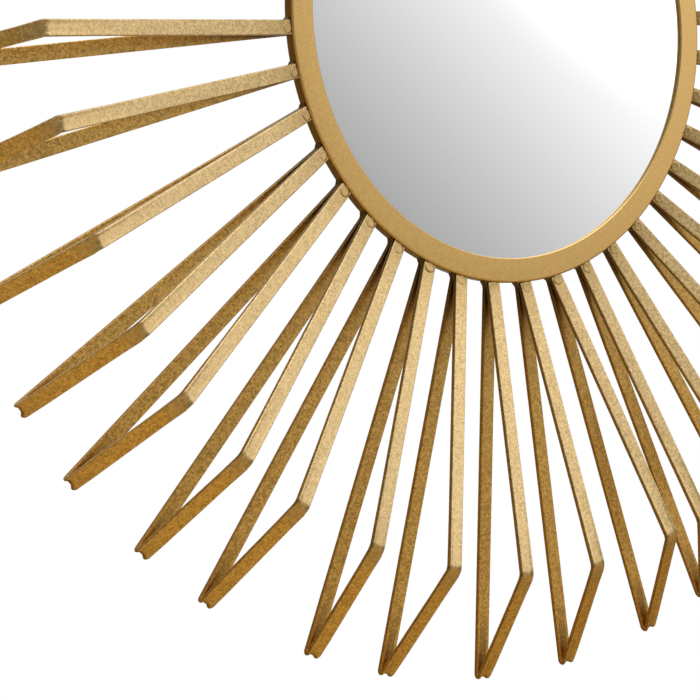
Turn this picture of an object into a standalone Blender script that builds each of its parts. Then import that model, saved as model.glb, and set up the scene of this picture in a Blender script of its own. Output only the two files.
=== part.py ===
"""Sunburst wall mirror: glass in a flat ring frame, forty folded flat-bar rays and the hardware behind.

Metres, +Z up. The mirror faces -Y and hangs on the wall plane Y = 0, with the origin on that plane
behind the centre of the glass. Depth is counted from the wall, and ahead of it is towards -Y.
"""

import math

import bmesh
import bpy
from mathutils import Matrix, Vector

# Overall sizes
TIP_RADIUS = 0.457            # centre to the ray tips
RING_RADIUS = 0.181           # outer wall of the ring frame
FACE_WIDTH = 0.0170           # the ring's flat face, from its outer wall to the visible glass
REBATE_WIDTH = 0.008          # how far the face laps over the glass
RING_DEPTH = 0.0085           # front face to back face of the ring
FACE_THICKNESS = 0.0020       # the ring's face where it laps over the glass
OUTER_ROUND = 0.0014          # rounding of the ring's outer front edge
LIP_ROUND = 0.0005            # rounding of the ring's inner front edge
WALL_GAP = 0.0050             # back face of the ring to the wall

# The rays, each one flat bar: out along the front, knee, outer leg, fold, and back along the wall
RAY_COUNT = 40
FIRST_RAY_DEG = 3.7           # the first ray, below nine o'clock seen from the front
BAR_WIDTH = 0.0100
BAR_THICKNESS = 0.0032
KNEE_AHEAD = 0.0450           # the knee stands this far ahead of the ring's back face
OUTER_LEG_REACH = 0.0760      # the knee's distance inside the ray tip, along the radius
KNEE_BEND_RADIUS = 0.0090     # on the bar's centre line
FOLD_INSIDE_RADIUS = 0.0003   # inside of the sharp fold at the tip
TIP_WALL_CLEARANCE = 0.0003   # back of the fold to the wall
LEG_SETBACK = 0.0004          # rear leg to the ring's back face, and rear leg to front leg
# Bent and welded by hand, so each ray differs a little from the next, in turn round the ring. A ray leans
# about its root, its knee stands to one side of the line from root to tip, and its knee and its tip
# reach a little further than the sizes above. A lean or a side above zero is towards the next ray.
RAY_LEANS_DEG = (3.4, 3.4, 4.9, 4.5, 1.4, 0.7, -2.1, 2.0, 0.2, 2.8, 3.9, 6.0)
KNEE_SIDEWAYS = (
    -0.0120, -0.0150, -0.0065, -0.0045, 0.0010, -0.0020, 0.0015, -0.0020, 0.0015, -0.0015, -0.0005, 0.0060,
)
KNEE_CHANGES = (0.0, 0.0015, 0.0, 0.0020, -0.0030, 0.0035, 0.0015, -0.0050, 0.0070, 0.0030, 0.0025, 0.0)
TIP_CHANGES = (0.0, 0.0, 0.0, 0.0, 0.0018, 0.0006, 0.0015, 0.0010, 0.0010, 0.0, 0.0, 0.0)

# What sits behind the ring's face
GLASS_THICKNESS = 0.0020
PAD_THICKNESS = 0.0008
PAD_INSET = 0.0040            # the foam pad stops short of the glass's edge
BOARD_CLEARANCE = 0.0008      # round the glass and the board in the rebate
BOARD_EDGE = 0.0003

# Hardware on the back
BUTTON_COUNT = 4
FIRST_BUTTON_DEG = 0.0
BUTTON_LENGTH = 0.0260
BUTTON_WIDTH = 0.0080
BUTTON_THICKNESS = 0.0012
SCREW_EDGE = 0.0058           # the ring's outer wall to the screws, so that no head shows past the ring
SCREW_SHANK_RADIUS = 0.00145
SCREW_HEAD_RADIUS = 0.0028
SCREW_HEAD_HEIGHT = 0.0016
SCREW_HEAD_BEVEL = 0.0008
SCREW_POINT_RADIUS = 0.0009
SCREW_POINT_LENGTH = 0.0006
SCREW_DEPTH = 0.0050          # shank in the ring
SCREW_HOLE_CLEARANCE = 0.0003
HANGER_ANGLES_DEG = (40.0, 140.0)   # from three o'clock, so ten and two o'clock
HANGER_LENGTH = 0.0180        # screw to the D-ring's bar
HANGER_WIDTH = 0.0090
HANGER_THICKNESS = 0.0008
HANGER_END = 0.0050           # strap beyond its screw
HANGER_CURL_DEG = 285.0
DRING_WIRE_RADIUS = 0.0011
DRING_CORNER_RADIUS = 0.0017
DRING_REACH = 0.0130          # bar to the far side of the loop, on the wire's centre line
BUMPER_RADIUS = 0.0050
BUMPER_TAPER = 0.0010
BUMPER_ANGLES_DEG = (240.0, 300.0)
BUMPER_INSET = 0.0120         # bumper's edge to the board's edge

GAP = 0.0003                  # between pieces that touch on the real mirror

RING_STEPS = 96
SMALL_STEPS = 16
KNEE_STEPS = 4
FOLD_STEPS = 8
ROUND_STEPS = 2
MERGE = 0.00001
SHARP_DEG = 35.0

# Radii, and depths as Y, that follow from the sizes above
OPENING_RADIUS = RING_RADIUS - FACE_WIDTH
RING_BACK = -WALL_GAP
RING_FRONT = RING_BACK - RING_DEPTH
REBATE_RADIUS = OPENING_RADIUS + REBATE_WIDTH
GLASS_RADIUS = REBATE_RADIUS - BOARD_CLEARANCE
GLASS_FRONT = RING_FRONT + FACE_THICKNESS + GAP
GLASS_BACK = GLASS_FRONT + GLASS_THICKNESS
PAD_FRONT = GLASS_BACK + GAP
PAD_BACK = PAD_FRONT + PAD_THICKNESS
BOARD_FRONT = PAD_BACK + GAP
BOARD_BACK = RING_BACK
SCREW_CIRCLE = RING_RADIUS - SCREW_EDGE
SCREW_HOLE_RADIUS = SCREW_SHANK_RADIUS + SCREW_HOLE_CLEARANCE

FINISHES = {
    "gold_ray": ((0.62, 0.44, 0.19), 0.32, 1.0),
    "gold_ring": ((0.55, 0.36, 0.13), 0.34, 1.0),
    "mirror": ((0.86, 0.87, 0.88), 0.03, 1.0),
    "foam": ((0.75, 0.75, 0.73), 0.95, 0.0),
    "board": ((0.22, 0.14, 0.08), 0.80, 0.0),
    "steel": ((0.60, 0.60, 0.58), 0.35, 1.0),
    "rubber": ((0.03, 0.03, 0.03), 0.85, 0.0),
}


def clear_scene():
    """Remove the startup objects."""
    for obj in list(bpy.data.objects):
        bpy.data.objects.remove(obj, do_unlink=True)


def new_collection(name):
    collection = bpy.data.collections.new(name)
    bpy.context.scene.collection.children.link(collection)
    return collection


def finish(name):
    """The Principled material called name, made once."""
    found = bpy.data.materials.get(name)
    if found:
        return found
    colour, roughness, metallic = FINISHES[name]
    material = bpy.data.materials.new(name)
    material.use_nodes = True
    shader = material.node_tree.nodes["Principled BSDF"]
    shader.inputs["Base Color"].default_value = (*colour, 1.0)
    shader.inputs["Roughness"].default_value = roughness
    shader.inputs["Metallic"].default_value = metallic
    return material


def add_object(name, data, material, matrix=None):
    """Put data in the mirror's collection as the object called name."""
    obj = bpy.data.objects.new(name, data)
    if matrix is not None:
        obj.matrix_world = matrix
    data.materials.append(finish(material))
    PARTS.objects.link(obj)
    return obj


def mesh_from(bm, name):
    mesh = bpy.data.meshes.new(name)
    bm.to_mesh(mesh)
    bm.free()
    return mesh


def shade_round(mesh):
    mesh.shade_smooth()
    mesh.set_sharp_from_angle(angle=math.radians(SHARP_DEG))


def facing_front(depth=0.0, x=0.0, z=0.0):
    """The matrix that turns local +Z to the front (-Y) and puts the local origin at that depth."""
    return Matrix.Translation((x, depth, z)) @ Matrix.Rotation(math.radians(90.0), 4, "X")


def polar(radius, degrees):
    """X and Z at an angle counted from three o'clock towards twelve, seen from the front."""
    angle = math.radians(degrees)
    return radius * math.cos(angle), radius * math.sin(angle)


def radial_frame(degrees, depth, radius):
    """Local +X points at the centre, +Y at the wall, with the origin at that radius, angle and depth."""
    x, z = polar(radius, degrees)
    inward = Vector((-x, 0.0, -z)).normalized()
    wall = Vector((0.0, 1.0, 0.0))
    across = inward.cross(wall)
    turn = Matrix((inward, wall, across)).transposed().to_4x4()
    return Matrix.Translation((x, depth, z)) @ turn


def arc_points(centre, radius, start, end, steps):
    """Points on an arc, both ends included."""
    points = []
    for step in range(steps + 1):
        angle = start + (end - start) * step / steps
        points.append(centre + radius * Vector((math.cos(angle), math.sin(angle))))
    return points


def rounded_corner(before, corner, after, radius, steps):
    """The arc that rounds a corner between two straight runs."""
    back = (before - corner).normalized()
    on = (after - corner).normalized()
    half = back.angle(on) / 2
    centre = corner + (back + on).normalized() * radius / math.sin(half)
    first = corner + back * radius / math.tan(half) - centre
    last = corner + on * radius / math.tan(half) - centre
    start = math.atan2(first.y, first.x)
    turn = math.atan2(first.x * last.y - first.y * last.x, first.dot(last))
    return arc_points(centre, radius, start, start + turn, steps)


def tangent_angle(point, centre, radius, side):
    """The angle, round the centre, where a line from the point touches the circle on that side."""
    away = point - centre
    return math.atan2(away.y, away.x) + side * math.acos(radius / away.length)


def turned(name, profile, material, matrix, steps, closed=False):
    """A turned piece: the profile, as (radius, height) down its outer side, screwed about local Z."""
    bm = bmesh.new()
    verts = [bm.verts.new((radius, 0.0, height)) for radius, height in profile]
    for first, second in zip(verts, verts[1:]):
        bm.edges.new((first, second))
    if closed:
        bm.edges.new((verts[-1], verts[0]))
    mesh = mesh_from(bm, name)
    obj = add_object(name, mesh, material, matrix)
    screw = obj.modifiers.new("turn", "SCREW")
    screw.steps = steps
    screw.render_steps = steps
    screw.use_merge_vertices = True
    screw.merge_threshold = MERGE
    screw.use_smooth_shade = True
    return obj


def strip(name, path, width, thickness, material, matrix):
    """A bent flat bar: the path drawn out sideways along local Z, then given its thickness."""
    bm = bmesh.new()
    half = Vector((0.0, 0.0, width / 2))
    verts = [bm.verts.new(point.to_3d() - half) for point in path]
    edges = [bm.edges.new(pair) for pair in zip(verts, verts[1:])]
    drawn = bmesh.ops.extrude_edge_only(bm, edges=edges)["geom"]
    moved = [item for item in drawn if isinstance(item, bmesh.types.BMVert)]
    bmesh.ops.translate(bm, verts=moved, vec=(0.0, 0.0, width))
    bmesh.ops.recalc_face_normals(bm, faces=bm.faces)
    mesh = mesh_from(bm, name)
    shade_round(mesh)
    obj = add_object(name, mesh, material, matrix)
    solidify = obj.modifiers.new("thickness", "SOLIDIFY")
    solidify.thickness = thickness
    solidify.offset = 0.0
    solidify.use_even_offset = True
    return obj


def disc(name, radius, front, back, material, edge=0.0):
    """A round sheet between two depths, with a small bevel round both edges if asked."""
    bm = bmesh.new()
    bmesh.ops.create_cone(
        bm, cap_ends=True, segments=RING_STEPS, radius1=radius, radius2=radius, depth=back - front
    )
    obj = add_object(name, mesh_from(bm, name), material, facing_front((front + back) / 2))
    if edge:
        bevel = obj.modifiers.new("edge", "BEVEL")
        bevel.width = edge
        bevel.segments = 1
        bevel.limit_method = "ANGLE"
    return obj


def drill(obj, places, radius, depth_from, depth_to):
    """Cut a hole facing the wall at each (x, z), between two depths."""
    for index, (x, z) in enumerate(places):
        bm = bmesh.new()
        bmesh.ops.create_cone(
            bm, cap_ends=True, segments=SMALL_STEPS, radius1=radius, radius2=radius,
            depth=depth_to - depth_from,
        )
        cutter = bpy.data.objects.new(f"{obj.name}_hole_{index + 1}", mesh_from(bm, "hole"))
        cutter.matrix_world = facing_front((depth_from + depth_to) / 2, x, z)
        cutter.hide_render = True
        cutter.display_type = "WIRE"
        CUTTERS.objects.link(cutter)
        cut = obj.modifiers.new(f"hole_{index + 1}", "BOOLEAN")
        cut.operation = "DIFFERENCE"
        cut.solver = "EXACT"
        cut.object = cutter


def button_angles():
    return [FIRST_BUTTON_DEG + 360.0 * index / BUTTON_COUNT for index in range(BUTTON_COUNT)]


def make_ring_frame():
    """The ring: a flat face that laps over the glass, on a rim that takes the rays and the screws."""
    front = -RING_FRONT
    back = -RING_BACK
    shoulder = front - FACE_THICKNESS
    corner = Vector((RING_RADIUS - OUTER_ROUND, front - OUTER_ROUND))
    outer = arc_points(corner, OUTER_ROUND, math.radians(90.0), 0.0, ROUND_STEPS)
    lip = Vector((OPENING_RADIUS + LIP_ROUND, front - LIP_ROUND))
    inner = arc_points(lip, LIP_ROUND, math.radians(180.0), math.radians(90.0), ROUND_STEPS)
    profile = [*outer, (RING_RADIUS, back), (REBATE_RADIUS, back)]
    profile += [(REBATE_RADIUS, shoulder), (OPENING_RADIUS, shoulder), *inner]
    ring = turned("ring_frame", profile, "gold_ring", facing_front(), RING_STEPS, closed=True)
    places = [polar(SCREW_CIRCLE, angle) for angle in (*button_angles(), *HANGER_ANGLES_DEG)]
    drill(ring, places, SCREW_HOLE_RADIUS, RING_BACK - SCREW_DEPTH - 2 * GAP, RING_BACK + 2 * GAP)


def ray_path(index, corner_allowance):
    """The bar's centre line as (distance from the centre, depth as Y, and how far it is to one side)."""
    knee_change = KNEE_CHANGES[index % len(KNEE_CHANGES)]
    tip_radius = TIP_RADIUS + TIP_CHANGES[index % len(TIP_CHANGES)]
    sideways = KNEE_SIDEWAYS[index % len(KNEE_SIDEWAYS)]
    root = RING_RADIUS + GAP + corner_allowance
    rear_depth = RING_BACK - LEG_SETBACK - BAR_THICKNESS / 2
    front_depth = rear_depth - BAR_THICKNESS - LEG_SETBACK
    knee = Vector((TIP_RADIUS - OUTER_LEG_REACH, RING_BACK - KNEE_AHEAD - knee_change))
    radius = FOLD_INSIDE_RADIUS + BAR_THICKNESS / 2
    outside = radius + BAR_THICKNESS / 2
    centre = Vector((tip_radius - outside, -TIP_WALL_CLEARANCE - outside))
    front_root = Vector((root, front_depth))
    rear_root = Vector((root, rear_depth))
    start = tangent_angle(knee, centre, radius, 1)
    end = tangent_angle(rear_root, centre, radius, -1)
    if start > 0:
        start -= math.tau
    if end < 0:
        end += math.tau
    fold = arc_points(centre, radius, start, end, FOLD_STEPS)
    bend = []
    for point in rounded_corner(front_root, knee, fold[0], KNEE_BEND_RADIUS, KNEE_STEPS):
        from_root = (point.x - root) / (knee.x - root)
        from_fold = (centre.x - point.x) / (centre.x - knee.x)
        bend.append(Vector((point.x, point.y, sideways * min(from_root, from_fold))))
    return [front_root, *bend, *fold, rear_root]


def make_ray(index):
    """One folded bar, leaning a little about its root."""
    lean = math.radians(RAY_LEANS_DEG[index % len(RAY_LEANS_DEG)])
    angle = math.radians(180.0 + FIRST_RAY_DEG + 360.0 * index / RAY_COUNT)
    path = ray_path(index, BAR_WIDTH / 2 * abs(math.sin(lean)))
    root = RING_RADIUS
    turn = Matrix.Rotation(-angle, 4, "Y")
    about_root = (
        Matrix.Translation((root, 0.0, 0.0))
        @ Matrix.Rotation(-lean, 4, "Y")
        @ Matrix.Translation((-root, 0.0, 0.0))
    )
    strip(f"ray_{index + 1:02d}", path, BAR_WIDTH, BAR_THICKNESS, "gold_ray", turn @ about_root)


def make_glazing():
    """Glass, foam pad and backing board, stacked in the rebate."""
    disc("mirror_glass", GLASS_RADIUS, GLASS_FRONT, GLASS_BACK, "mirror")
    disc("foam_pad", GLASS_RADIUS - PAD_INSET, PAD_FRONT, PAD_BACK, "foam")
    disc("backing_board", GLASS_RADIUS, BOARD_FRONT, BOARD_BACK, "board", BOARD_EDGE)


def make_screw(name, degrees, under_head):
    """A pan-head screw into the ring's back, its head's underside at that depth."""
    x, z = polar(SCREW_CIRCLE, degrees)
    tip = RING_BACK - SCREW_DEPTH
    head = under_head + SCREW_HEAD_HEIGHT
    profile = [
        (0.0, -tip),
        (SCREW_POINT_RADIUS, -tip),
        (SCREW_SHANK_RADIUS, -tip - SCREW_POINT_LENGTH),
        (SCREW_SHANK_RADIUS, -under_head),
        (SCREW_HEAD_RADIUS, -under_head),
        (SCREW_HEAD_RADIUS, -head + SCREW_HEAD_BEVEL),
        (SCREW_HEAD_RADIUS - SCREW_HEAD_BEVEL, -head),
        (0.0, -head),
    ]
    turned(name, profile, "steel", facing_front(0.0, x, z), SMALL_STEPS)


def circle_spline(curve, centre, radius, steps):
    """A closed round outline in a flat curve."""
    spline = curve.splines.new("POLY")
    spline.points.add(steps - 1)
    for index, point in enumerate(spline.points):
        angle = math.tau * index / steps
        point.co = (centre + radius * math.cos(angle), radius * math.sin(angle), 0.0, 1.0)
    spline.use_cyclic_u = True


def make_turn_button(name, degrees):
    """A swivelling catch: round ends, a hole for its screw, its long end over the board."""
    curve = bpy.data.curves.new(name, "CURVE")
    curve.dimensions = "2D"
    curve.fill_mode = "BOTH"
    curve.extrude = BUTTON_THICKNESS / 2
    half = BUTTON_WIDTH / 2
    far = BUTTON_LENGTH - BUTTON_WIDTH
    steps = SMALL_STEPS // 2
    outline = arc_points(Vector((far, 0.0)), half, math.radians(-90.0), math.radians(90.0), steps)
    outline += arc_points(Vector((0.0, 0.0)), half, math.radians(90.0), math.radians(270.0), steps)
    spline = curve.splines.new("POLY")
    spline.points.add(len(outline) - 1)
    for point, place in zip(spline.points, outline):
        point.co = (place.x, place.y, 0.0, 1.0)
    spline.use_cyclic_u = True
    circle_spline(curve, 0.0, SCREW_HOLE_RADIUS, SMALL_STEPS)
    depth = RING_BACK + GAP + BUTTON_THICKNESS / 2
    flat = Matrix.Rotation(math.radians(90.0), 4, "X")
    add_object(name, curve, "steel", radial_frame(degrees, depth, SCREW_CIRCLE) @ flat)


def hanger_bar_height():
    """The D-ring's bar above the strap's centre line."""
    return DRING_WIRE_RADIUS + GAP + HANGER_THICKNESS / 2


def make_hanger(side, degrees):
    """A strap screwed to the ring, curled round the bar of a D-ring that swings on it."""
    depth = RING_BACK + GAP + HANGER_THICKNESS / 2
    height = hanger_bar_height()
    frame = radial_frame(degrees, depth, SCREW_CIRCLE)
    curl_start = math.radians(-90.0)
    curl = arc_points(
        Vector((HANGER_LENGTH, height)), height, curl_start,
        curl_start + math.radians(HANGER_CURL_DEG), SMALL_STEPS,
    )
    path = [Vector((-HANGER_END, 0.0)), *curl]
    strap = strip(f"hanger_strap_{side}", path, HANGER_WIDTH, HANGER_THICKNESS, "steel", frame)
    drill(
        strap, [polar(SCREW_CIRCLE, degrees)], SCREW_HOLE_RADIUS, RING_BACK,
        depth + HANGER_THICKNESS,
    )
    make_screw(f"hanger_screw_{side}", degrees, depth + HANGER_THICKNESS / 2 + GAP)
    make_dring(f"d_ring_{side}", frame @ Matrix.Translation((HANGER_LENGTH, height, 0.0)))


def make_dring(name, frame):
    """The D-ring: a straight bar through the strap's curl and a round bow, its origin on the bar."""
    half = HANGER_WIDTH / 2 + GAP + 2 * DRING_WIRE_RADIUS
    bow = DRING_REACH - half
    curve = bpy.data.curves.new(name, "CURVE")
    curve.dimensions = "3D"
    curve.bevel_depth = DRING_WIRE_RADIUS
    curve.bevel_resolution = 2
    spline = curve.splines.new("POLY")
    route = [Vector((0.0, -HANGER_WIDTH / 4)), Vector((0.0, HANGER_WIDTH / 4))]
    route += rounded_corner(
        Vector((0.0, 0.0)), Vector((0.0, half)), Vector((bow, half)), DRING_CORNER_RADIUS,
        ROUND_STEPS,
    )
    route += arc_points(
        Vector((bow, 0.0)), half, math.radians(90.0), math.radians(-90.0), SMALL_STEPS // 2
    )
    route += rounded_corner(
        Vector((bow, -half)), Vector((0.0, -half)), Vector((0.0, 0.0)), DRING_CORNER_RADIUS,
        ROUND_STEPS,
    )
    spline.points.add(len(route) - 1)
    for point, place in zip(spline.points, route):
        point.co = (place.x, 0.0, place.y, 1.0)
    spline.use_cyclic_u = True
    add_object(name, curve, "steel", frame)


def make_bumper(side, degrees):
    """A rubber bumper on the board that stands on the wall."""
    x, z = polar(GLASS_RADIUS - BUMPER_INSET - BUMPER_RADIUS, degrees)
    foot = BOARD_BACK + GAP
    profile = [
        (0.0, -foot),
        (BUMPER_RADIUS, -foot),
        (BUMPER_RADIUS - BUMPER_TAPER, 0.0),
        (0.0, 0.0),
    ]
    turned(f"bumper_{side}", profile, "rubber", facing_front(0.0, x, z), SMALL_STEPS)


def main():
    make_ring_frame()
    make_glazing()
    for index in range(RAY_COUNT):
        make_ray(index)
    for index, degrees in enumerate(button_angles()):
        make_turn_button(f"turn_button_{index + 1}", degrees)
        make_screw(f"button_screw_{index + 1}", degrees, RING_BACK + 2 * GAP + BUTTON_THICKNESS)
    for side, degrees in zip(("right", "left"), HANGER_ANGLES_DEG):
        make_hanger(side, degrees)
    for side, degrees in zip(("left", "right"), BUMPER_ANGLES_DEG):
        make_bumper(side, degrees)


clear_scene()
PARTS = new_collection("sunburst_wall_mirror")
CUTTERS = new_collection("cutters")
main()
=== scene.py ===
"""Looks of a sunburst wall mirror: folded gold bars round a ringed glass, and the hardware behind."""

from __future__ import annotations

import logging
import math
import random
from collections.abc import Callable
from dataclasses import dataclass
from enum import Enum

import bmesh
import bpy
import numpy as np
from mathutils import Matrix, Vector

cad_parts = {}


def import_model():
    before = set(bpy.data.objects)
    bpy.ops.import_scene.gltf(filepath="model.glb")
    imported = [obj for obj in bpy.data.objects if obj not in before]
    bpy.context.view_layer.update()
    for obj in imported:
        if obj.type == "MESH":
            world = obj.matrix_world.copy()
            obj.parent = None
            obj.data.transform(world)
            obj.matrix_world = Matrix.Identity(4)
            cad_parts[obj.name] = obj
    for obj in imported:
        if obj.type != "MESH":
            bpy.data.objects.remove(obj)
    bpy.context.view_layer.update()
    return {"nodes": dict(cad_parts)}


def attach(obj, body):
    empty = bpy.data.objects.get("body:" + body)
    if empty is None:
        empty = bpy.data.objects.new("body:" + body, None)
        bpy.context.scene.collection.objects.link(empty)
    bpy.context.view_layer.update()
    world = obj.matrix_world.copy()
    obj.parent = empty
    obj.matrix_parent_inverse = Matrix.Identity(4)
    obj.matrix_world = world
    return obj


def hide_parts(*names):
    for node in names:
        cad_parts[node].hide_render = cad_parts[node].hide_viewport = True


log = logging.getLogger("sunburst_mirror")

ROOT_BODY = "frame"
TINY = 1e-6                   # slack when two places are compared
MERGE_DISTANCE = 0.00001
REAR_LEG_DEPTH = -0.0088      # a ray's rear leg lies behind this depth at the ring


class Slot(Enum):
    """Material slots of the record, one for each finish."""

    RAY = "ray_gold"
    RING = "ring_gold"
    MIRROR = "mirror"
    FOAM = "foam"
    BOARD = "board"
    STEEL = "steel"
    RUBBER = "rubber"


class Pattern(Enum):
    """Noise patterns, each with a seed of its own so that none repeats another."""

    PAINT_CLOUD = 1.0
    PAINT_GRAIN = 2.0
    PAINT_PITS = 3.0
    GLASS_HAZE = 4.0
    ZINC_PATCHES = 5.0
    ZINC_GRAIN = 6.0
    BOARD_FIBRES = 7.0
    BOARD_CLOUD = 8.0
    MATTER_PITS = 9.0
    FLOOR_GRAIN = 11.0


# ---------------------------------------------------------------- shader writing


class Signal:
    """A shader socket that takes part in Python expressions on single values."""

    def __init__(self, kit: NodeKit, socket: bpy.types.NodeSocket) -> None:
        self.kit = kit
        self.socket = socket

    def __add__(self, other: Signal | float) -> Signal:
        """Sum."""
        return self.kit.math("ADD", self, other)

    def __radd__(self, other: float) -> Signal:
        """Sum, with the number first."""
        return self.kit.math("ADD", other, self)

    def __sub__(self, other: Signal | float) -> Signal:
        """Difference."""
        return self.kit.math("SUBTRACT", self, other)

    def __rsub__(self, other: float) -> Signal:
        """Difference, with the number first."""
        return self.kit.math("SUBTRACT", other, self)

    def __mul__(self, other: Signal | float) -> Signal:
        """Product."""
        return self.kit.math("MULTIPLY", self, other)

    def __rmul__(self, other: float) -> Signal:
        """Product, with the number first."""
        return self.kit.math("MULTIPLY", other, self)

    def __pow__(self, other: float) -> Signal:
        """Power."""
        return self.kit.math("POWER", self, other)

    def clamped(self, low: float, high: float) -> Signal:
        """The value held between two numbers."""
        return self.kit.math("MINIMUM", self.kit.math("MAXIMUM", self, low), high)

    def smooth(self, low: float, high: float) -> Signal:
        """A soft step from 0 at low to 1 at high."""
        settings = {"interpolation_type": "SMOOTHSTEP", "clamp": True}
        values = {"Value": self, "From Min": low, "From Max": high}
        return self.kit.signal("ShaderNodeMapRange", "Result", settings, values)


class NodeKit:
    """Writes nodes into one tree."""

    def __init__(self, tree: bpy.types.NodeTree) -> None:
        """Empty the tree and write into it."""
        self.tree = tree
        tree.nodes.clear()

    def node(
        self, kind: str, settings: dict[str, object] | None = None,
        sockets: dict[str | int, object] | None = None,
    ) -> bpy.types.Node:
        """Add a node.

        Args:
            kind: The node's type.
            settings: Its properties, set before its sockets.
            sockets: Values or links for its input sockets.

        Returns:
            The node.
        """
        made = self.tree.nodes.new(kind)
        for name, value in (settings or {}).items():
            setattr(made, name, value)
        for name, value in (sockets or {}).items():
            if isinstance(value, Signal):
                self.tree.links.new(value.socket, made.inputs[name])
            else:
                made.inputs[name].default_value = value
        return made

    def signal(
        self, kind: str, output: str | int, settings: dict[str, object] | None = None,
        sockets: dict[str | int, object] | None = None,
    ) -> Signal:
        """Add a node and wrap one of its outputs."""
        return Signal(self, self.node(kind, settings, sockets).outputs[output])

    def math(self, operation: str, first: object, second: object) -> Signal:
        """Add a Math node."""
        return self.signal(
            "ShaderNodeMath", 0, {"operation": operation}, {0: first, 1: second}
        )

    def mix(self, share: object, first: object, second: object, blend: str = "MIX") -> Signal:
        """Mix two colours by a share."""
        settings = {"data_type": "RGBA", "blend_type": blend}
        return self.signal("ShaderNodeMix", 2, settings, {0: share, 6: first, 7: second})

    def noise(self, where: Signal, size: float, detail: float, pattern: Pattern) -> Signal:
        """Noise whose features are about size metres across."""
        settings = {"noise_dimensions": "4D"}
        sockets = {"Vector": where, "W": pattern.value, "Scale": 1.0 / size, "Detail": detail}
        return self.signal("ShaderNodeTexNoise", "Fac", settings, sockets)

    def specks(self, where: Signal, size: float) -> Signal:
        """A random value for each cell of about size metres."""
        sockets = {"Vector": where, "Scale": 1.0 / size}
        colour = self.signal("ShaderNodeTexVoronoi", "Color", None, sockets)
        return self.signal("ShaderNodeSeparateColor", 0, None, {0: colour})

    def bump(self, height: Signal, strength: float, distance: float) -> Signal:
        """A normal bent by a height."""
        sockets = {"Strength": strength, "Distance": distance, "Height": height}
        return self.signal("ShaderNodeBump", "Normal", None, sockets)

    def place(self) -> Signal:
        """Object coordinates."""
        return self.signal("ShaderNodeTexCoord", "Object")

    def mark(self, name: str) -> Signal:
        """A value stored on the piece's vertices."""
        return self.signal("ShaderNodeAttribute", "Fac", {"attribute_name": name})

    def grey(self, value: Signal) -> Signal:
        """A grey colour of that value."""
        return self.signal("ShaderNodeCombineColor", 0, None, {0: value, 1: value, 2: value})


def new_material(name: str) -> tuple[bpy.types.Material, NodeKit]:
    material = bpy.data.materials.new(name)
    material.use_nodes = True
    return material, NodeKit(material.node_tree)


def close_material(kit: NodeKit, sockets: dict[str | int, object]) -> None:
    """Add the Principled shader with its sockets and the output."""
    shader = kit.signal("ShaderNodeBsdfPrincipled", "BSDF", None, sockets)
    kit.node("ShaderNodeOutputMaterial", None, {"Surface": shader})


Colour = tuple[float, float, float, float]


@dataclass(frozen=True)
class GoldPaint:
    """Metallic gold paint with a fine sparkle, a little darker where the bar is strained or welded, with
    painted shade where marked.
    """

    name: str
    light: Colour = (0.73, 0.535, 0.26, 1.0)
    deep: Colour = (0.62, 0.42, 0.165, 1.0)
    strained: Colour = (0.62, 0.39, 0.12, 1.0)
    # painted shade: the tint for the legs beyond the knee and the rear legs, deeper and warmer as in shade
    shaded: Colour = (1.18, 1.04, 0.68, 1.0)
    # painted shade: the near-black colour painted in corners, in the fold and behind the front leg
    painted_dark_shade: Colour = (0.055, 0.032, 0.012, 1.0)
    flake: float = 0.0014
    fine_flake: float = 0.45
    cloud_size: float = 0.022
    grain_size: float = 0.0014
    pit_size: float = 0.0009
    flake_weight: float = 0.45
    fine_weight: float = 0.3
    grain_weight: float = 0.5
    light_share: float = 0.45
    speck_share: float = 0.6
    sparkle: float = 1.05
    cloud: float = 0.30
    roughness: float = 0.36
    grain_roughness: float = 0.16
    flake_roughness: float = 0.08
    bump_strength: float = 0.35
    bump_depth: float = 0.00012
    coat: float = 0.60
    coat_roughness: float = 0.25
    coat_lost_in_shade: float = 0.85
    coat_lost_in_dark_shade: float = 0.8

    def make(self) -> bpy.types.Material:
        """Build the material."""
        material, kit = new_material(self.name)
        where = kit.place()
        flakes = kit.specks(where, self.flake)
        fine = kit.specks(where, self.flake * self.fine_flake)
        cloud = kit.noise(where, self.cloud_size, 3.0, Pattern.PAINT_CLOUD)
        grain = kit.noise(where, self.grain_size, 3.0, Pattern.PAINT_GRAIN)
        middle = (self.flake_weight + self.fine_weight + self.grain_weight) / 2
        speck = self.flake_weight * flakes + self.fine_weight * fine + self.grain_weight * grain - middle
        share = self.light_share + self.cloud * (cloud - 0.5) + self.speck_share * speck
        share = share.clamped(0.0, 1.0)
        paint = kit.mix(share, self.deep, self.light)
        paint = kit.mix(1.0, paint, kit.grey(1.0 + self.sparkle * speck), "MULTIPLY")
        # painted shade: where marked shaded, the paint takes the deeper, warmer tint and keeps less coat
        shade = kit.mark("shade")
        paint = kit.mix(shade, paint, kit.mix(1.0, paint, self.shaded, "MULTIPLY"))
        paint = kit.mix(kit.mark("strain") * (0.5 + 0.5 * grain), paint, self.strained)
        # painted shade: near black where the bar is marked dark, in its corners and fold; the coat fades
        # there too
        dark_shade_share = kit.mark("painted_dark_shade") * (0.8 + 0.3 * grain)
        paint = kit.mix(dark_shade_share, paint, self.painted_dark_shade)
        rough = self.roughness + self.grain_roughness * (grain - 0.5)
        rough = rough + self.flake_roughness * (flakes - 0.5)
        height = 0.6 * grain + 0.4 * kit.noise(where, self.pit_size, 1.0, Pattern.PAINT_PITS)
        coat = self.coat * (1.0 - self.coat_lost_in_shade * shade)
        close_material(kit, {
            "Base Color": paint, "Metallic": 1.0, "Roughness": rough,
            "Normal": kit.bump(height, self.bump_strength, self.bump_depth),
            "Coat Weight": coat * (1.0 - self.coat_lost_in_dark_shade * dark_shade_share),
            "Coat Roughness": self.coat_roughness,
        })
        return material


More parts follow.
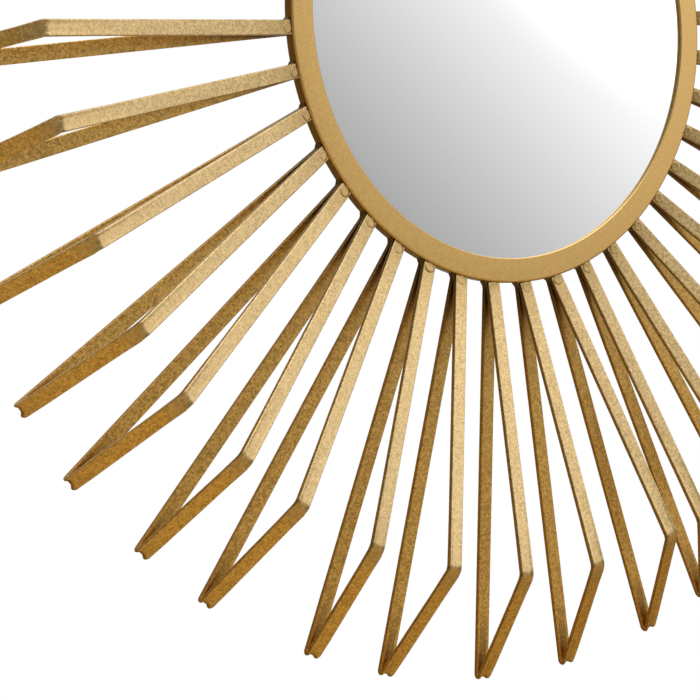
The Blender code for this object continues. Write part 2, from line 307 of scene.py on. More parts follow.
RAY_PAINT = GoldPaint("gold_ray_paint")
RING_PAINT = GoldPaint(
    "gold_ring_paint", light=(0.81, 0.53, 0.19, 1.0), deep=(0.75, 0.48, 0.155, 1.0),
    sparkle=0.30, cloud=0.10, roughness=0.40, coat=0.40,
)


@dataclass(frozen=True)
class MirrorSilver:
    """Silvered glass, clean but for the faintest haze."""

    name: str = "silvered_glass"
    silver: Colour = (0.90, 0.905, 0.91, 1.0)
    hazed: Colour = (0.82, 0.83, 0.84, 1.0)
    haze_size: float = 0.05
    haze_share: float = 0.04
    haze_roughness: float = 0.01
    roughness: float = 0.012

    def make(self) -> bpy.types.Material:
        """Build the material."""
        material, kit = new_material(self.name)
        where = kit.place()
        haze = kit.noise(where, self.haze_size, 3.0, Pattern.GLASS_HAZE)
        close_material(kit, {
            "Base Color": kit.mix(haze * self.haze_share, self.silver, self.hazed),
            "Metallic": 1.0,
            "Roughness": self.roughness + self.haze_roughness * haze,
        })
        return material


@dataclass(frozen=True)
class ZincSteel:
    """Bright zinc-plated steel with a fine grain and dull patches."""

    name: str = "zinc_steel"
    light: Colour = (0.72, 0.73, 0.74, 1.0)
    dull: Colour = (0.48, 0.49, 0.48, 1.0)
    patch_size: float = 0.004
    grain_size: float = 0.0006
    roughness: float = 0.24
    patch_roughness: float = 0.3

    def make(self) -> bpy.types.Material:
        """Build the material."""
        material, kit = new_material(self.name)
        where = kit.place()
        patches = kit.noise(where, self.patch_size, 4.0, Pattern.ZINC_PATCHES)
        grain = kit.noise(where, self.grain_size, 2.0, Pattern.ZINC_GRAIN)
        colour = kit.mix(patches.smooth(0.35, 0.75), self.light, self.dull)
        close_material(kit, {
            "Base Color": colour, "Metallic": 1.0,
            "Roughness": self.roughness + self.patch_roughness * patches,
            "Normal": kit.bump(grain, 0.25, 0.00008),
        })
        return material


@dataclass(frozen=True)
class Hardboard:
    """Brown pressed board, smooth side out, with short fibres showing."""

    name: str = "hardboard"
    light: Colour = (0.30, 0.185, 0.10, 1.0)
    dark: Colour = (0.15, 0.085, 0.042, 1.0)
    fibre_size: float = 0.0022
    fibre_stretch: float = 0.35
    cloud_size: float = 0.05
    roughness: float = 0.62
    fibre_roughness: float = 0.2

    def make(self) -> bpy.types.Material:
        """Build the material."""
        material, kit = new_material(self.name)
        where = kit.place()
        stretched = kit.signal(
            "ShaderNodeMapping", "Vector", {"vector_type": "POINT"},
            {"Vector": where, "Scale": (1.0, 1.0, self.fibre_stretch)},
        )
        fibres = kit.noise(stretched, self.fibre_size, 6.0, Pattern.BOARD_FIBRES)
        cloud = kit.noise(where, self.cloud_size, 3.0, Pattern.BOARD_CLOUD)
        share = (fibres.smooth(0.3, 0.72) * 0.75 + 0.35 * cloud).clamped(0.0, 1.0)
        close_material(kit, {
            "Base Color": kit.mix(share, self.dark, self.light),
            "Roughness": self.roughness + self.fibre_roughness * fibres,
            "Normal": kit.bump(fibres, 0.3, 0.00025),
        })
        return material


@dataclass(frozen=True)
class PlainMatter:
    """Rubber or foam: one dull colour with a pitted surface."""

    name: str
    light: Colour
    dark: Colour
    pit: float
    roughness: float

    def make(self) -> bpy.types.Material:
        """Build the material."""
        material, kit = new_material(self.name)
        where = kit.place()
        pits = kit.noise(where, self.pit, 3.0, Pattern.MATTER_PITS)
        close_material(kit, {
            "Base Color": kit.mix(pits, self.dark, self.light),
            "Roughness": self.roughness + 0.12 * (pits - 0.5),
            "Normal": kit.bump(pits, 0.4, self.pit / 6),
        })
        return material


BLACK_RUBBER = PlainMatter(
    "black_rubber", light=(0.035, 0.035, 0.035, 1.0), dark=(0.012, 0.012, 0.012, 1.0),
    pit=0.0006, roughness=0.78,
)
WHITE_FOAM = PlainMatter(
    "white_foam", light=(0.80, 0.80, 0.78, 1.0), dark=(0.62, 0.62, 0.60, 1.0),
    pit=0.0008, roughness=0.92,
)


# ---------------------------------------------------------------- modelling by operators


def deselect_all() -> None:
    """Leave nothing selected or active."""
    for obj in bpy.context.selected_objects:
        obj.select_set(False)
    bpy.context.view_layer.objects.active = None


def activate(obj: bpy.types.Object) -> None:
    """Select one object alone."""
    deselect_all()
    obj.select_set(True)
    bpy.context.view_layer.objects.active = obj


def edit(obj: bpy.types.Object, mode: str = "VERT") -> None:
    """Enter edit mode on one object, with that select mode."""
    activate(obj)
    bpy.ops.object.mode_set(mode="EDIT")
    bpy.ops.mesh.select_mode(type=mode)


def leave() -> None:
    """Back to object mode."""
    bpy.ops.object.mode_set(mode="OBJECT")


def pick_verts(obj: bpy.types.Object, test: Callable[[Vector], bool]) -> None:
    """Select the vertices that pass a test on their place.

    Args:
        obj: The object in edit mode.
        test: Says whether a place is picked.
    """
    bm = bmesh.from_edit_mesh(obj.data)
    bm.select_mode = {"VERT"}
    for vert in bm.verts:
        vert.select_set(bool(test(vert.co)))
    bm.select_flush_mode()
    bmesh.update_edit_mesh(obj.data)


def pick_all() -> None:
    """Select the whole mesh in edit mode."""
    bpy.ops.mesh.select_all(action="SELECT")


def join(pieces: list[bpy.types.Object], name: str) -> bpy.types.Object:
    """Join pieces into the first of them.

    Args:
        pieces: The pieces to join.
        name: The joined piece's name.

    Returns:
        The joined piece.
    """
    deselect_all()
    for piece in pieces:
        piece.select_set(True)
    bpy.context.view_layer.objects.active = pieces[0]
    bpy.ops.object.join()
    pieces[0].name = name
    return pieces[0]


def move(value: tuple[float, float, float]) -> None:
    """Move what is picked."""
    bpy.ops.transform.translate(value=value)


def push_out(value: tuple[float, float, float]) -> None:
    """Extrude the picked faces along a vector."""
    bpy.ops.mesh.extrude_region_move(TRANSFORM_OT_translate={"value": value})


def apply_modifiers(obj: bpy.types.Object) -> None:
    """Apply every modifier of an object."""
    activate(obj)
    for modifier in list(obj.modifiers):
        bpy.ops.object.modifier_apply(modifier=modifier.name)


def smooth_shading(obj: bpy.types.Object, degrees: float) -> None:
    """Shade smooth below an angle, with normals weighted by face size."""
    activate(obj)
    bpy.ops.object.shade_smooth_by_angle(angle=math.radians(degrees), keep_sharp_edges=True)
    weighted = obj.modifiers.new("weighted", "WEIGHTED_NORMAL")
    weighted.keep_sharp = True
    apply_modifiers(obj)


def bake_place(obj: bpy.types.Object, matrix: Matrix) -> None:
    """Put an object's mesh through a matrix and leave the object at the origin."""
    obj.matrix_world = matrix
    activate(obj)
    bpy.ops.object.transform_apply(location=True, rotation=True, scale=True)


def copy_of(obj: bpy.types.Object, name: str) -> bpy.types.Object:
    """A copy with its own mesh."""
    twin = obj.copy()
    twin.data = obj.data.copy()
    twin.name = name
    twin.data.name = name
    bpy.context.scene.collection.objects.link(twin)
    return twin


def mark_verts(obj: bpy.types.Object, name: str, value: Callable[[Vector], float]) -> None:
    """Store a value on each vertex."""
    layer = obj.data.attributes.new(name, "FLOAT", "POINT")
    layer.data.foreach_set("value", [value(vert.co) for vert in obj.data.vertices])


def nearness(value: float, centre: float, spread: float) -> float:
    """1 at the centre, falling smoothly to nothing a few spreads away."""
    return math.exp(-(((value - centre) / spread) ** 2))


def dress(obj: bpy.types.Object, material: bpy.types.Material) -> None:
    """Give an object one material."""
    obj.data.materials.clear()
    obj.data.materials.append(material)


# ---------------------------------------------------------------- the rays


@dataclass(frozen=True)
class RayPlace:
    """Where one ray stands, read from its CAD solid."""

    start: Vector
    along: Vector
    knee_front: float
    knee_spot: Vector
    tip: float

    def matrix(self) -> Matrix:
        """From the ray's own frame (out along the bar, depth, across) to the mirror's."""
        depth = Vector((0.0, 1.0, 0.0))
        across = self.along.cross(depth)
        turn = Matrix((self.along, depth, across)).transposed().to_4x4()
        return Matrix.Translation(self.start) @ turn


def read_ray(node: bpy.types.Object, ring_radius: float) -> RayPlace:
    """Find a ray's line, its knee and its tip from the vertices of its CAD solid.

    Args:
        node: The CAD solid.
        ring_radius: Radius of the ring's outer wall.

    Returns:
        The ray's place, its origin that radius short of the ring's wall.
    """
    points = np.array([vert.co for vert in node.data.vertices], float)
    flat = points[:, [0, 2]]
    rear = flat[points[:, 1] > REAR_LEG_DEPTH]
    middle = (rear.max(0) + rear.min(0)) / 2
    _, vectors = np.linalg.eigh(np.cov((rear - rear.mean(0)).T))
    along = vectors[:, 1] * np.sign(vectors[:, 1] @ middle)
    across = np.array((-along[1], along[0]))
    spread = rear @ across
    offset = across * (spread.max() + spread.min()) / 2
    reach = math.sqrt(ring_radius**2 - float(offset @ offset))
    start = offset + along * (reach - ring_radius)
    knee_front = float(points[:, 1].min())
    knee = flat[points[:, 1] < knee_front + TINY].mean(0) - start
    return RayPlace(
        start=Vector((start[0], 0.0, start[1])),
        along=Vector((along[0], 0.0, along[1])),
        knee_front=knee_front,
        knee_spot=Vector((float(knee @ along), 0.0, float(knee @ across))),
        tip=float(((flat - start) @ along).max()),
    )


@dataclass
class FoldedRay:
    """One flat bar: front leg, knee, outer leg, sharp fold, and the rear leg back along the wall."""

    ring_radius: float = 0.181
    tip_radius: float = 0.457
    gap: float = 0.0003             # the ring's wall to the bar's two ends
    width: float = 0.0100
    thickness: float = 0.0032
    knee_reach: float = 0.0760      # the knee's corner, this far inside the tip
    knee_depth: float = 0.0500
    knee_radius: float = 0.0090
    fold_inside: float = 0.0003
    wall_clearance: float = 0.0003
    rear_depth: float = 0.0070      # middle of each leg at the root
    front_depth: float = 0.0106
    edge_round: float = 0.00045
    edge_sharp_deg: float = 50.0
    columns: int = 10
    rows: int = 3
    leg_steps: int = 6
    knee_steps: int = 10
    fold_steps: int = 12
    fold_start: float = 0.0012      # the fold's shaped end starts this far inside its centre
    fold_off_middle: float = 0.0004
    # From and to, in halves of the bar's width, and how far that band of the fold is pressed in
    fold_bands: tuple[tuple[float, float, float], ...] = (
        (0.0, 0.44, 0.0015), (0.44, 0.66, 0.000825), (0.97, 1.5, 0.0007),
    )
    knee_dish: float = 0.00035
    knee_dish_width: float = 0.62   # in halves of the bar's width
    knee_dish_reach: float = 0.42   # in knee radii
    knee_skin: float = 0.0022       # the knee's outside, counted from its foremost point
    knee_core: float = 0.0005
    knee_pinch: float = 1.06
    forward: float = 0.0300         # only the bar near its knee stands further forward than this
    rear_slope: float = 0.0050      # how far the rear leg's bound comes back from root to fold
    knee_strain: float = 0.55
    end_strain: float = 0.50
    strain_spread: tuple[float, float, float] = (0.006, 0.009, 0.006)   # knee, fold, root
    # Depth of the painted shade: in the fold, on the rear leg near the root, on the sides near the ring, in
    # the knee's pinched edges, and on the front near the ring
    fold_shade: float = 0.80
    rear_shade: float = 0.92
    side_shade: float = 0.85
    pinch_shade: float = 0.40
    root_shade: float = 0.22

    def fold_centre(self) -> Vector:
        """Centre of the fold at the tip."""
        outside = self.fold_inside + self.thickness
        return Vector((self.tip_radius - outside, -self.wall_clearance - outside, 0.0))

    def fold_radius(self) -> float:
        """Radius of the fold on the bar's centre line."""
        return self.fold_inside + self.thickness / 2

    def tangent(self, point: Vector, side: int) -> Vector:
        """Where a line from the point touches the fold's circle on that side."""
        away = point - self.fold_centre()
        angle = math.atan2(away.y, away.x) + side * math.acos(self.fold_radius() / away.length)
        return self.fold_centre() + self.fold_radius() * Vector((math.cos(angle), math.sin(angle), 0))

    def knee(self) -> Vector:
        """The corner that the knee rounds."""
        return Vector((self.tip_radius - self.knee_reach, -self.knee_depth, 0.0))

    def model(self) -> bpy.types.Object:
        """Model the bar once, in its own frame: out along X, depth along Y, across along Z."""
        root = self.ring_radius + self.gap
        front = Vector((root, -self.front_depth, 0.0))
        rear = Vector((root, -self.rear_depth, 0.0))
        knee = self.knee()
        fold_start = self.tangent(knee, 1)
        fold_end = self.tangent(rear, -1)
        back = (front - knee).normalized()
        on = (fold_start - knee).normalized()
        half = back.angle(on) / 2
        knee_centre = knee + (back + on).normalized() * self.knee_radius / math.sin(half)
        bend_start = knee + back * self.knee_radius / math.tan(half)
        bend_end = knee + on * self.knee_radius / math.tan(half)
        obj = self.section(front, -back)
        edit(obj, "FACE")
        pick_all()
        self.run_leg(front, bend_start, self.leg_steps)
        self.bend(obj, knee_centre, bend_end, self.knee_steps)
        self.run_leg(bend_end, fold_start, self.leg_steps)
        self.bend(obj, self.fold_centre(), fold_end, self.fold_steps)
        self.run_leg(fold_end, rear, self.leg_steps)
        pick_all()
        bpy.ops.mesh.remove_doubles(threshold=TINY)
        bpy.ops.mesh.normals_make_consistent(inside=False)
        bpy.ops.mesh.select_mode(type="EDGE")
        bpy.ops.mesh.select_all(action="DESELECT")
        bpy.ops.mesh.edges_select_sharp(sharpness=math.radians(self.edge_sharp_deg))
        bpy.ops.mesh.bevel(offset=self.edge_round, segments=3, clamp_overlap=False)
        self.shape_fold(obj)
        self.shape_knee(obj)
        leave()
        self.note_strain(obj)
        smooth_shading(obj, 40.0)
        return obj

    def section(self, centre: Vector, along: Vector) -> bpy.types.Object:
        """The bar's end face, square to its run."""
        deselect_all()
        bpy.ops.mesh.primitive_grid_add(
            x_subdivisions=self.columns, y_subdivisions=self.rows, size=1.0
        )
        obj = bpy.context.object
        obj.name = "ray_master"
        across = Vector((0.0, 0.0, 1.0))
        through = along.cross(across)
        turn = Matrix((across, through, along)).transposed().to_4x4()
        sized = Matrix.Diagonal((self.width, self.thickness, 1.0, 1.0))
        bake_place(obj, Matrix.Translation(centre) @ turn @ sized)
        return obj

    @staticmethod
    def run_leg(start: Vector, end: Vector, steps: int) -> None:
        """Extrude the picked end along a straight run, in steps."""
        for _ in range(steps):
            push_out(tuple((end - start) / steps))

    def bend(self, obj: bpy.types.Object, centre: Vector, end: Vector, steps: int) -> None:
        """Spin the picked end round a centre until it reaches a place.

        Args:
            obj: The object in edit mode.
            centre: The bend's centre.
            end: Where the bar's centre line leaves the bend.
            steps: Segments of the bend.
        """
        bm = bmesh.from_edit_mesh(obj.data)
        picked = [face.calc_center_median() for face in bm.faces if face.select]
        first = sum(picked, Vector()) / len(picked) - centre
        last = end - centre
        turn = math.atan2(first.x * last.y - first.y * last.x, first.x * last.x + first.y * last.y)
        if turn < 0:
            turn += math.tau
        bpy.ops.mesh.spin(
            steps=steps, dupli=False, angle=-turn, center=tuple(centre), axis=(0.0, 0.0, 1.0),
            use_auto_merge=False,
        )
        bm = bmesh.from_edit_mesh(obj.data)
        picked = [face.calc_center_median() for face in bm.faces if face.select]
        reached = sum(picked, Vector()) / len(picked)
        log.info("bend %.1f deg, off by %.5f m", math.degrees(turn), (reached - end).length)

    def shape_fold(self, obj: bpy.types.Object) -> None:
        """Dish the fold's middle and leave a small ear at each edge."""
        half = self.width / 2
        start = self.fold_centre().x - self.fold_start
        for inner, outer, depth in self.fold_bands:

            def in_band(co: Vector, least: float = inner * half, most: float = outer * half) -> bool:
                """Whether a place is on the fold and in this band across the bar."""
                return co.x > start and least <= abs(co.z + self.fold_off_middle) < most

            pick_verts(obj, in_band)
            move((-depth, 0.0, 0.0))

    def shape_knee(self, obj: bpy.types.Object) -> None:
        """Dish the knee's outside a little and pinch its inside edges outwards."""
        knee = self.knee()
        middle = self.width / 2 * self.knee_dish_width
        reach = self.knee_radius * self.knee_dish_reach
        outside = -self.knee_depth + self.knee_skin
        inside = -self.knee_depth + self.knee_core
        pick_verts(
            obj, lambda co: abs(co.x - knee.x) < reach and co.y < outside and abs(co.z) < middle
        )
        move((0.0, self.knee_dish, 0.0))
        pick_verts(
            obj, lambda co: abs(co.x - knee.x) < reach and inside < co.y < -self.forward
        )
        bpy.ops.transform.resize(value=(1.0, 1.0, self.knee_pinch), center_override=(0.0, 0.0, 0.0))

    def note_strain(self, obj: bpy.types.Object) -> None:
        """Mark the bar near its knee, its fold and its root, and where shade is painted on it."""
        knee = self.knee()
        fold = self.fold_centre()
        at_knee, at_fold, at_root = self.strain_spread

        def strain(co: Vector) -> float:
            """How strained the bar is at a place, or marked by the weld's heat."""
            near_knee = nearness(co.x, knee.x + 0.002, at_knee) * (co.y < -self.forward)
            near_end = nearness(co.x, fold.x, at_fold) + nearness(co.x, self.ring_radius, at_root)
            return min(1.0, self.knee_strain * near_knee + self.end_strain * near_end)

        beyond_knee = knee.x + 0.004
        mark_verts(obj, "strain", strain)
        # painted shade: the legs beyond the knee and the rear leg take the shaded tint
        mark_verts(obj, "shade", lambda co: float(co.x > beyond_knee or self.is_rear(co)))
        # painted shade: near black in the fold, behind the front leg, in the corners by the ring and in the
        # knee's pinched edges
        mark_verts(obj, "painted_dark_shade", self.dark_shade_at)

    def dark_shade_at(self, co: Vector) -> float:
        """How much dark shade is painted on the bar: most between the legs at the root and in the fold."""
        from_root = co.x - self.ring_radius
        from_tip = self.fold_centre().x - co.x
        # painted shade on the rear leg: behind the front leg near the root, and inside the fold
        if self.is_rear(co):
            in_fold = math.exp(-max(0.0, from_tip - 0.001) / 0.008) * (from_tip > 0.0005)
            return min(1.0, self.rear_shade * math.exp(-from_root / 0.040) + self.fold_shade * in_fold)
        # Painted shade near the ring on the front leg and the sides, and in the knee's pinched edges
        side = abs(co.z) > self.width / 2 - TINY
        near_edge = abs(co.z) > 0.35 * self.width
        pinched = nearness(co.x, self.knee().x - 0.001, 0.0013) * near_edge
        shade_by_ring = self.root_shade * nearness(max(0.0, from_root), 0.0, 0.0050)
        shaded_side = self.side_shade * math.exp(-from_root / 0.030) * side
        return max(shade_by_ring, shaded_side) + self.pinch_shade * pinched

    def is_rear(self, co: Vector) -> bool:
        """Whether a place is on the leg that runs back along the wall."""
        outward = (co.x - self.ring_radius) / (self.fold_centre().x - self.ring_radius)
        return co.y > REAR_LEG_DEPTH + outward * self.rear_slope

    def place(self, master: bpy.types.Object, name: str, spot: RayPlace) -> bpy.types.Object:
        """Copy the bar to its place and set its knee and its tip as that ray has them."""
        obj = copy_of(master, name)
        nominal = min(vert.co.y for vert in master.data.vertices)
        deeper = spot.knee_front - nominal
        longer = spot.tip - self.tip_radius
        root, knee, tip = self.ring_radius, self.knee().x, self.fold_centre().x

        def knee_share(x: float) -> float:
            """How much of the knee's shift a place takes: 1 at the knee, none at the root and the tip."""
            return min((x - root) / (knee - root), (tip - x) / (tip - knee))

        sideways = spot.knee_spot.z / knee_share(spot.knee_spot.x)
        for vert in obj.data.vertices:
            co = vert.co
            if self.is_rear(co):
                co.x += longer * min(1.0, max(0.0, (co.x - root) / (tip - root)))
                continue
            share = min(1.0, max(0.0, knee_share(co.x)))
            co.y += deeper * share
            co.z += sideways * share
            co.x += longer * min(1.0, max(0.0, (co.x - knee) / (tip - knee)))
        bake_place(obj, spot.matrix())
        return obj


@dataclass
class WeldBead:
    """The weld that joins a ray's two ends to the ring: a round puddle, and a foot flared to one side."""

    ring_radius: float = 0.181
    reach: float = 0.0040           # the foot, outwards from the ring's wall
    bite: float = 0.0008            # and into it
    width: float = 0.0101
    front: float = 0.0108
    back: float = 0.0052
    foot_round: float = 0.0004
    foot_strain: float = 0.35
    # painted shade over the whole foot, which sits behind the front leg
    foot_shade: float = 0.78
    flare: float = 0.0036           # how far out the foot spreads to one side
    flare_side: float = 0.7         # in halves of the foot's width, where the flare starts
    flare_spread: float = 1.26
    flare_steps: int = 6
    puddle_radius: float = 0.0043
    puddle_sides: int = 28
    puddle_out: float = 0.0037      # its centre, outwards from the ring's wall
    puddle_rise: float = 0.00040
    # Inset, in puddle radii, and how far what is inside it sinks, in rises
    puddle_steps: tuple[tuple[float, float], ...] = ((0.24, 0.0), (0.20, 0.35), (0.30, -0.15))
    puddle_rim: float = 0.95
    rim_sink: float = 0.9
    puddle_strain: float = 0.8
    # Painted shade on the puddle: some all over, more on the side next to the ring and a little at the rim
    puddle_shade: float = 0.20
    ring_side_shade: float = 0.26
    rim_shade: float = 0.05
    leg_front: float = 0.0122       # the front leg's face at the ring, and how it slopes forward
    leg_slope: float = 0.172
    ripple: float = 0.00012
    size_ranges: tuple[tuple[float, float], ...] = ((0.85, 1.12), (0.98, 1.0), (0.96, 1.02))
    seed: int = 7

    def model(self) -> bpy.types.Object:
        """Model one weld in a ray's own frame."""
        weld = join([self.model_foot(), self.model_puddle()], "weld_master")
        smooth_shading(weld, 60.0)
        return weld

    def model_foot(self) -> bpy.types.Object:
        """A block across both ends, bevelled, its foot on the ring spread to one side in a hollow curve."""
        deselect_all()
        bpy.ops.mesh.primitive_cube_add(size=1.0)
        obj = bpy.context.object
        length = self.reach + self.bite
        centre = Vector((self.ring_radius - self.bite + length / 2, -(self.front + self.back) / 2, 0))
        sized = Matrix.Diagonal((length, self.front - self.back, self.width, 1.0))
        bake_place(obj, Matrix.Translation(centre) @ sized)
        edit(obj, "VERT")
        pick_all()
        bpy.ops.mesh.bevel(offset=self.foot_round, segments=2, affect="EDGES")
        half = self.width / 2
        for index in range(1, self.flare_steps):
            pick_all()
            at = self.ring_radius + self.flare * index / self.flare_steps
            bpy.ops.mesh.bisect(plane_co=(at, 0.0, 0.0), plane_no=(1.0, 0.0, 0.0))
        for index in range(self.flare_steps):
            level = self.ring_radius + self.flare * (1 - index / self.flare_steps) - TINY
            pick_verts(obj, lambda co, at=level: co.x < at and co.z < -half * self.flare_side)
            share = (index + 0.5) / self.flare_steps**2
            move((0.0, 0.0, -self.flare * self.flare_spread * share))
        leave()
        mark_verts(obj, "strain", lambda co: self.foot_strain)
        mark_verts(obj, "shade", lambda co: 0.0)
        # painted shade: the foot is darkened all over
        mark_verts(obj, "painted_dark_shade", lambda co: self.foot_shade)
        return obj

    def model_puddle(self) -> bpy.types.Object:
        """A shallow round cap on the front of the root, sloping at its rim and dished in the middle."""
        deselect_all()
        bpy.ops.mesh.primitive_cylinder_add(
            vertices=self.puddle_sides, radius=self.puddle_radius, depth=2 * self.puddle_rise,
            rotation=(math.radians(90.0), 0.0, 0.0),
        )
        obj = bpy.context.object
        bpy.ops.object.transform_apply(location=True, rotation=True)
        rim = self.puddle_radius * self.puddle_rim
        edit(obj, "FACE")
        pick_verts(obj, lambda co: co.y < -self.puddle_rise + TINY)
        bpy.ops.mesh.select_mode(type="FACE")
        for inset, sink in self.puddle_steps:
            bpy.ops.mesh.inset(thickness=self.puddle_radius * inset)
            move((0.0, self.puddle_rise * sink, 0.0))
        bpy.ops.mesh.select_mode(type="VERT")
        pick_verts(obj, lambda co: math.hypot(co.x, co.z) > rim and co.y < 0.0)
        move((0.0, self.puddle_rise * self.rim_sink, 0.0))
        pick_all()
        bpy.ops.transform.vertex_random(offset=self.ripple, seed=self.seed)
        leave()
        mark_verts(obj, "strain", lambda co: self.puddle_strain)
        mark_verts(obj, "shade", lambda co: 0.0)

        def painted_dark_shade(co: Vector) -> float:
            """How much shade is painted on the puddle at a place: most on the side next to the ring."""
            ring_side_share = self.ring_side_shade * max(0.0, -co.x / self.puddle_radius)
            return self.puddle_shade + ring_side_share + self.rim_shade * float(math.hypot(co.x, co.z) > rim)

        mark_verts(obj, "painted_dark_shade", painted_dark_shade)
        depth = self.leg_front + self.puddle_out * self.leg_slope
        centre = Vector((self.ring_radius + self.puddle_out, -depth, 0.0))
        lean = Matrix.Rotation(-math.atan(self.leg_slope), 4, "Z")
        bake_place(obj, Matrix.Translation(centre) @ lean)
        return obj

    def place_all(self, spots: list[RayPlace]) -> bpy.types.Object:
        """Copy the weld to every ray, each a little different, as one piece."""
        master = self.model()
        rng = random.Random(self.seed)
        beads = []
        for index, spot in enumerate(spots):
            bead = copy_of(master, f"weld_{index + 1:02d}")
            pivot = Matrix.Translation((self.ring_radius, -(self.front + self.back) / 2, 0.0))
            sizes = [rng.uniform(least, most) for least, most in self.size_ranges]
            sized = Matrix.Diagonal((*sizes, 1.0))
            bake_place(bead, spot.matrix() @ pivot @ sized @ pivot.inverted())
            beads.append(bead)
        bpy.data.objects.remove(master)
        return join(beads, "weld_beads")


# ---------------------------------------------------------------- the ring


@dataclass
class RingFrame:
    """The ring frame: flat face, rounded outer edge, thin inner lip, and the rebate behind the face."""

    outer: float = 0.181
    opening: float = 0.164
    rebate: float = 0.172
    front: float = 0.0135
    back: float = 0.0050
    face: float = 0.0020
    outer_round: float = 0.0016
    lip_round: float = 0.0006
    # painted shade on the outer wall, in the corner behind the rays
    wall_shade: float = 0.50
    steps: int = 256

    def model(self) -> bpy.types.Object:
        """Model the ring's section and spin it round."""
        deselect_all()
        bpy.ops.mesh.primitive_plane_add(size=1.0)
        obj = bpy.context.object
        obj.name = "ring_frame_looks"
        middle = Vector(((self.rebate + self.outer) / 2, -(self.front + self.back) / 2, 0.0))
        sized = Matrix.Diagonal((self.outer - self.rebate, self.front - self.back, 1.0, 1.0))
        bake_place(obj, Matrix.Translation(middle) @ sized)
        shoulder = -self.front + self.face
        edit(obj, "VERT")
        pick_all()
        bpy.ops.mesh.bisect(plane_co=(0.0, shoulder, 0.0), plane_no=(0.0, 1.0, 0.0))
        pick_verts(obj, lambda co: co.x < self.rebate + TINY and co.y < shoulder + TINY)
        bpy.ops.mesh.extrude_region_move(
            TRANSFORM_OT_translate={"value": (self.opening - self.rebate, 0.0, 0.0)}
        )
        bpy.ops.mesh.select_mode(type="FACE")
        pick_all()
        bpy.ops.mesh.dissolve_faces()
        bpy.ops.mesh.select_mode(type="VERT")
        self.round_corner(obj, self.outer, -self.front, self.outer_round, 5)
        self.round_corner(obj, self.opening, -self.front, self.lip_round, 3)
        self.round_corner(obj, self.outer, -self.back, self.lip_round, 3)
        pick_all()
        bpy.ops.mesh.delete(type="ONLY_FACE")
        pick_all()
        bpy.ops.mesh.spin(
            steps=self.steps, angle=math.tau, center=(0.0, 0.0, 0.0), axis=(0.0, 1.0, 0.0)
        )
        pick_all()
        bpy.ops.mesh.remove_doubles(threshold=MERGE_DISTANCE)
        bpy.ops.mesh.normals_make_consistent(inside=False)
        leave()
        mark_verts(obj, "strain", lambda co: 0.0)
        mark_verts(obj, "shade", lambda co: 0.0)
        wall_start = -self.front + self.outer_round * 0.5
        wall_radius = self.outer - 0.0003

        def painted_dark_shade(co: Vector) -> float:
            """How much shade is painted on the ring at a place: only on its outer wall."""
            return self.wall_shade * (math.hypot(co.x, co.z) > wall_radius and co.y > wall_start)

        # painted shade: the outer wall darkened
        mark_verts(obj, "painted_dark_shade", painted_dark_shade)
        smooth_shading(obj, 40.0)
        return obj

    @staticmethod
    def round_corner(
        obj: bpy.types.Object, radius: float, depth: float, size: float, segments: int
    ) -> None:
        """Bevel one corner of the section."""
        pick_verts(obj, lambda co: abs(co.x - radius) < TINY and abs(co.y - depth) < TINY)
        bpy.ops.mesh.bevel(offset=size, segments=segments, affect="VERTICES")


# ---------------------------------------------------------------- the whole mirror


@dataclass
class SunburstMirror:
    """Everything that rides on the frame, with its finishes."""

    ray: FoldedRay
    weld: WeldBead
    ring: RingFrame

    def build(self, nodes: dict[str, bpy.types.Object]) -> None:
        """Build and dress every piece."""
        ray_gold = RAY_PAINT.make()
        ring_gold = RING_PAINT.make()
        self.build_rays(nodes, ray_gold)
        ring = self.ring.model()
        self.settle(ring, ring_gold, Slot.RING, "ring_frame")
        self.dress_nodes(nodes)

    def build_rays(self, nodes: dict[str, bpy.types.Object], gold: bpy.types.Material) -> None:
        """A detailed bar for each ray, and the welds at their roots."""
        master = self.ray.model()
        names = sorted(name for name in nodes if name.startswith("ray_"))
        spots = [read_ray(nodes[name], self.ray.ring_radius) for name in names]
        for name, spot in zip(names, spots):
            bar = self.ray.place(master, f"{name}_bar", spot)
            self.settle(bar, gold, Slot.RAY, name)
        bpy.data.objects.remove(master)
        welds = self.weld.place_all(spots)
        self.settle(welds, gold, Slot.RAY)

    @staticmethod
    def settle(
        obj: bpy.types.Object, material: bpy.types.Material, slot: Slot, node: str | None = None
    ) -> None:
        """Dress a piece, let it ride on the frame and, where it stands for one, hide its CAD node."""
        dress(obj, material)
        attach(obj, ROOT_BODY)
        if node:
            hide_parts(node)
        log.info("piece %s, %d faces", obj.name, len(obj.data.polygons))

    @staticmethod
    def dress_nodes(nodes: dict[str, bpy.types.Object]) -> None:
        """Finishes for the CAD nodes that stay."""
        steel = ZincSteel().make()
        board = Hardboard().make()
        rubber = BLACK_RUBBER.make()
        foam = WHITE_FOAM.make()
        glass = MirrorSilver().make()
        finishes = {
            "mirror_glass": glass, "foam_pad": foam, "backing_board": board, "bumper": rubber,
            "turn_button": steel, "button_screw": steel, "hanger": steel, "d_ring": steel,
        }
        for name, node in nodes.items():
            for start, material in finishes.items():
                if name.startswith(start):
                    node.material_slots[0].material = material


# ---------------------------------------------------------------- room, light and view


